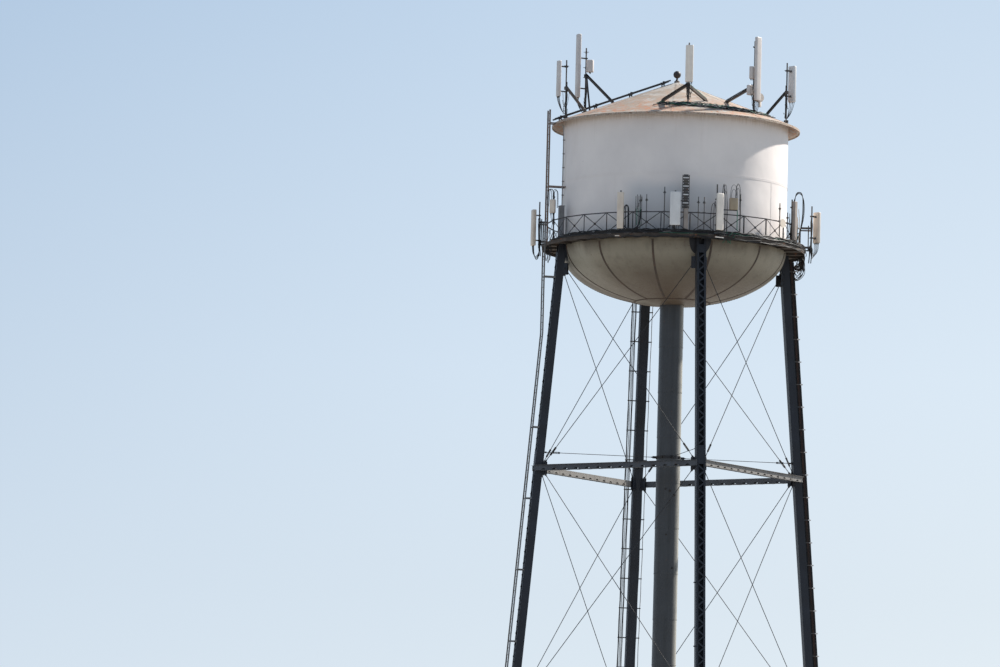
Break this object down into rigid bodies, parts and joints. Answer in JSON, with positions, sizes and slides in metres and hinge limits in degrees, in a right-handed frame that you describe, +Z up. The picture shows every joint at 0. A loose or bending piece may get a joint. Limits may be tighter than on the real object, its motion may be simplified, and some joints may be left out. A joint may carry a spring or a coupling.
{
  "type": "riveted steel water tower with four laced legs",
  "caption": "Elevated steel water tower: ellipsoidal-bottom tank with cone roof and railed balcony on four braced legs with a central riser, ladders and antennas.",
  "frame": {"origin": "on the ground, at the centre of the riser pipe and of the four legs", "axes": "+Z up along the riser; the front leg stands on -Y, the right leg on +X, the back leg on +Y and the left leg, with the ladders, on -X"},
  "size_m": [16.2574, 16.2574, 39.09],
  "materials": {
    "concrete": "weathered cast concrete",
    "leg_paint": "dark grey paint, dusty and faintly rust-streaked",
    "brace_paint": "dark grey paint with chalky tan undersides",
    "rod_paint": "dark paint on round bar",
    "riser_paint": "grey paint gone chalky, stained at the seams",
    "bowl_paint": "pale paint under heavy grime, rust at the seams",
    "shell_paint": "off-white paint, satin, lightly stained",
    "roof_paint": "buff paint with rust bleeding near the eave",
    "balcony_paint": "worn tan paint with rust",
    "ladder_steel": "grey paint, worn on the rungs",
    "cable_jacket": "black cable jacket, slightly glossy",
    "galvanized": "dull galvanized steel",
    "antenna_cover": "sun-faded beige cover"
  },
  "bodies": {
    "root": {"pier_front": "concrete", "pier_right": "concrete", "pier_back": "concrete", "pier_left": "concrete", "riser_pier": "concrete", "leg_front": "leg_paint", "leg_right": "leg_paint", "leg_back": "leg_paint", "leg_left": "leg_paint", "strut_lower_right_back": "brace_paint", "strut_lower_back_left": "brace_paint", "strut_lower_left_front": "brace_paint", "strut_lower_front_right": "brace_paint", "strut_upper_right_back": "brace_paint", "strut_upper_back_left": "brace_paint", "strut_upper_left_front": "brace_paint", "strut_upper_front_right": "brace_paint", "rods_bottom_right_back": "rod_paint", "rods_bottom_back_left": "rod_paint", "rods_bottom_left_front": "rod_paint", "rods_bottom_front_right": "rod_paint", "rods_middle_right_back": "rod_paint", "rods_middle_back_left": "rod_paint", "rods_middle_left_front": "rod_paint", "rods_middle_front_right": "rod_paint", "rods_top_right_back": "rod_paint", "rods_top_back_left": "rod_paint", "rods_top_left_front": "rod_paint", "rods_top_front_right": "rod_paint", "riser_stays_lower": "rod_paint", "riser_stays_upper": "rod_paint", "riser_pipe": "riser_paint", "tank_bowl": "bowl_paint", "shell_lower_course": "shell_paint", "shell_upper_course": "shell_paint", "roof": "roof_paint", "roof_ball": "roof_paint", "balcony": "balcony_paint", "railing_front": "balcony_paint", "railing_right": "balcony_paint", "railing_back": "balcony_paint", "railing_left": "balcony_paint", "leg_ladder": "ladder_steel", "tank_ladder": "ladder_steel", "roof_ladder": "ladder_steel", "cable_run_right": "cable_jacket", "cable_run_back": "cable_jacket", "antenna_roof_left": "antenna_cover", "antenna_roof_back_left": "antenna_cover", "antenna_roof_front": "antenna_cover", "antenna_roof_right": "antenna_cover", "antenna_roof_far_right": "antenna_cover", "antenna_rail_left": "antenna_cover", "antenna_rail_front_left": "antenna_cover", "antenna_rail_front": "antenna_cover", "antenna_rail_front_right": "antenna_cover", "antenna_rail_right": "antenna_cover", "antenna_rail_far_right": "antenna_cover", "equipment_cabinet": "galvanized"}
  },
  "joints": []
}
